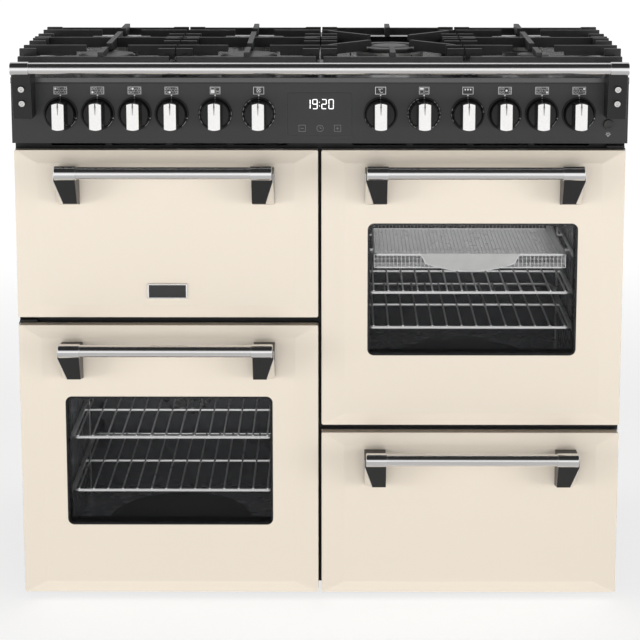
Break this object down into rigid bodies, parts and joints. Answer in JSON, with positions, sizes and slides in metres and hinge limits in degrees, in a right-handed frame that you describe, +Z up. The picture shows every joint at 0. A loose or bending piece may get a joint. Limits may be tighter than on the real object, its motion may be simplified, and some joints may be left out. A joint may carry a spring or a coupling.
{
  "type": "dual fuel range cooker",
  "caption": "Wide range cooker with gas burners under cast pan supports, a control fascia, a towel rail, hinged enamelled oven doors with windows and a storage drawer.",
  "frame": {"origin": "centre of the whole cooker's box, on the floor", "axes": "+X to the right seen from the front, +Y to the back, +Z up"},
  "size_m": [1, 0.6735, 0.9347],
  "materials": {
    "black_enamel": "gloss vitreous enamel",
    "fascia_paint": "satin dark grey",
    "cream_enamel": "gloss vitreous enamel",
    "carcass_paint": "satin black",
    "zinc_steel": "zinc-coated sheet",
    "brushed_steel": "brushed along the tube",
    "chrome": "polished",
    "cast_iron": "matt enamelled casting",
    "cap_enamel": "matt enamel",
    "burner_alloy": "bead-blasted",
    "brass": "machined",
    "oven_enamel": "speckled grey enamel",
    "chromed_wire": "bright chromed wire",
    "heater_sheath": "oxidised sheath",
    "glass": "tinted door glass",
    "clock_glass": "dark printed glass",
    "knob_black": "black skirt with a chromed grip",
    "seal_rubber": "silicone profile",
    "terminal_plastic": "moulded",
    "hinge_steel": "blackened steel",
    "inner_door": "grey enamel",
    "foot_steel": "black zinc"
  },
  "bodies": {
    "cabinet": {"carcass_panels": "carcass_paint", "back_panel": "zinc_steel", "levelling_feet": "foot_steel", "front_frame": "black_enamel", "hob_tray": "black_enamel", "fascia": "fascia_paint", "front_rail": "brushed_steel", "rail_brackets": "carcass_paint", "bracket_screws": "chrome", "clock_panel": "clock_glass", "burner_heads": "burner_alloy", "burner_caps": "cap_enamel", "gas_rail": "brass", "control_valves": "brass", "grill_oven_liner": "oven_enamel", "left_oven_liner": "oven_enamel", "right_oven_liner": "oven_enamel", "oven_shelves": "chromed_wire", "shelf_runners": "chromed_wire", "air_fry_basket": "chromed_wire", "heating_elements": "heater_sheath", "fan_motors": "zinc_steel", "terminal_box": "terminal_plastic", "drawer_runners": "zinc_steel", "door_seals": "seal_rubber", "hinge_plates": "hinge_steel"},
    "grill_door": {"grill_door_skin": "cream_enamel", "grill_door_liner": "inner_door", "name_plate": "chrome", "grill_door_handle": "brushed_steel"},
    "left_door": {"left_door_skin": "cream_enamel", "left_door_glass": "glass", "left_door_liner": "inner_door", "left_door_handle": "brushed_steel"},
    "right_door": {"right_door_skin": "cream_enamel", "right_door_glass": "glass", "right_door_liner": "inner_door", "right_door_handle": "brushed_steel"},
    "drawer": {"drawer_front": "cream_enamel", "drawer_box": "zinc_steel", "drawer_handle": "brushed_steel"},
    "button": {"light_button": "knob_black"},
    "support_left": {"pan_support_left": "cast_iron"},
    "support_centre_left": {"pan_support_centre_left": "cast_iron"},
    "support_wok": {"pan_support_wok": "cast_iron"},
    "support_right": {"pan_support_right": "cast_iron"},
    "left_fan": {"left_oven_fan": "zinc_steel"},
    "right_fan": {"right_oven_fan": "zinc_steel"},
    "knob_rear_left_body": {"knob_rear_left": "knob_black"},
    "knob_front_left_body": {"knob_front_left": "knob_black"},
    "knob_rear_centre_body": {"knob_rear_centre": "knob_black"},
    "knob_front_centre_body": {"knob_front_centre": "knob_black"},
    "knob_left_oven_body": {"knob_left_oven": "knob_black"},
    "knob_function_body": {"knob_function": "knob_black"},
    "knob_temperature_body": {"knob_temperature": "knob_black"},
    "knob_grill_oven_body": {"knob_grill_oven": "knob_black"},
    "knob_grill_body": {"knob_grill": "knob_black"},
    "knob_wok_body": {"knob_wok": "knob_black"},
    "knob_front_right_body": {"knob_front_right": "knob_black"},
    "knob_rear_right_body": {"knob_rear_right": "knob_black"}
  },
  "joints": [
    {"name": "grill_door_drop", "type": "hinge", "parent": "cabinet", "child": "grill_door", "pos_m": [-0.25045, -0.24723, 0.5072], "axis": [1, 0, 0], "range_deg": [0, 90]},
    {"name": "left_door_swing", "type": "hinge", "parent": "cabinet", "child": "left_door", "pos_m": [-0.4935, -0.23423, 0.2535], "axis": [0, 0, -1], "range_deg": [0, 105]},
    {"name": "right_door_swing", "type": "hinge", "parent": "cabinet", "child": "right_door", "pos_m": [0.4935, -0.23423, 0.5462], "axis": [0, 0, 1], "range_deg": [0, 105]},
    {"name": "drawer_slide", "type": "slide", "parent": "cabinet", "child": "drawer", "axis": [0, -1, 0], "range_m": [0, 0.4]},
    {"name": "light_button_push", "type": "slide", "parent": "cabinet", "child": "button", "axis": [0, 1, 0], "range_m": [0, 0.002], "stiffness_N_per_m": 400},
    {"name": "turn_rear_left", "type": "hinge", "parent": "cabinet", "child": "knob_rear_left_body", "pos_m": [-0.4195, -0.28323, 0.838], "axis": [0, -1, 0], "range_deg": [0, 240]},
    {"name": "turn_front_left", "type": "hinge", "parent": "cabinet", "child": "knob_front_left_body", "pos_m": [-0.3595, -0.28323, 0.838], "axis": [0, -1, 0], "range_deg": [0, 240]},
    {"name": "turn_rear_centre", "type": "hinge", "parent": "cabinet", "child": "knob_rear_centre_body", "pos_m": [-0.2995, -0.28323, 0.838], "axis": [0, -1, 0], "range_deg": [0, 240]},
    {"name": "turn_front_centre", "type": "hinge", "parent": "cabinet", "child": "knob_front_centre_body", "pos_m": [-0.2397, -0.28323, 0.838], "axis": [0, -1, 0], "range_deg": [0, 240]},
    {"name": "turn_left_oven", "type": "hinge", "parent": "cabinet", "child": "knob_left_oven_body", "pos_m": [-0.169, -0.28323, 0.838], "axis": [0, 1, 0], "range_deg": [0, 270]},
    {"name": "turn_function", "type": "hinge", "parent": "cabinet", "child": "knob_function_body", "pos_m": [-0.0986, -0.28323, 0.838], "axis": [0, 1, 0], "range_deg": [0, 300]},
    {"name": "turn_temperature", "type": "hinge", "parent": "cabinet", "child": "knob_temperature_body", "pos_m": [0.0986, -0.28323, 0.838], "axis": [0, 1, 0], "range_deg": [0, 270]},
    {"name": "turn_grill_oven", "type": "hinge", "parent": "cabinet", "child": "knob_grill_oven_body", "pos_m": [0.169, -0.28323, 0.838], "axis": [0, 1, 0], "range_deg": [0, 270]},
    {"name": "turn_grill", "type": "hinge", "parent": "cabinet", "child": "knob_grill_body", "pos_m": [0.2397, -0.28323, 0.838], "axis": [0, 1, 0], "range_deg": [0, 150]},
    {"name": "turn_wok", "type": "hinge", "parent": "cabinet", "child": "knob_wok_body", "pos_m": [0.2995, -0.28323, 0.838], "axis": [0, -1, 0], "range_deg": [0, 240]},
    {"name": "turn_front_right", "type": "hinge", "parent": "cabinet", "child": "knob_front_right_body", "pos_m": [0.3595, -0.28323, 0.838], "axis": [0, -1, 0], "range_deg": [0, 240]},
    {"name": "turn_rear_right", "type": "hinge", "parent": "cabinet", "child": "knob_rear_right_body", "pos_m": [0.4195, -0.28323, 0.838], "axis": [0, -1, 0], "range_deg": [0, 240]},
    {"name": "lift_support_left", "type": "slide", "parent": "cabinet", "child": "support_left", "axis": [0, 0, 1], "range_m": [0, 0.06]},
    {"name": "lift_support_centre_left", "type": "slide", "parent": "cabinet", "child": "support_centre_left", "axis": [0, 0, 1], "range_m": [0, 0.06]},
    {"name": "lift_support_wok", "type": "slide", "parent": "cabinet", "child": "support_wok", "axis": [0, 0, 1], "range_m": [0, 0.06]},
    {"name": "lift_support_right", "type": "slide", "parent": "cabinet", "child": "support_right", "axis": [0, 0, 1], "range_m": [0, 0.06]},
    {"name": "left_fan_spin", "type": "hinge", "parent": "cabinet", "child": "left_fan", "pos_m": [-0.25045, 0.19677, 0.2575], "axis": [0, 1, 0], "continuous": true},
    {"name": "right_fan_spin", "type": "hinge", "parent": "cabinet", "child": "right_fan", "pos_m": [0.25045, 0.19677, 0.5502], "axis": [0, 1, 0], "continuous": true}
  ]
}
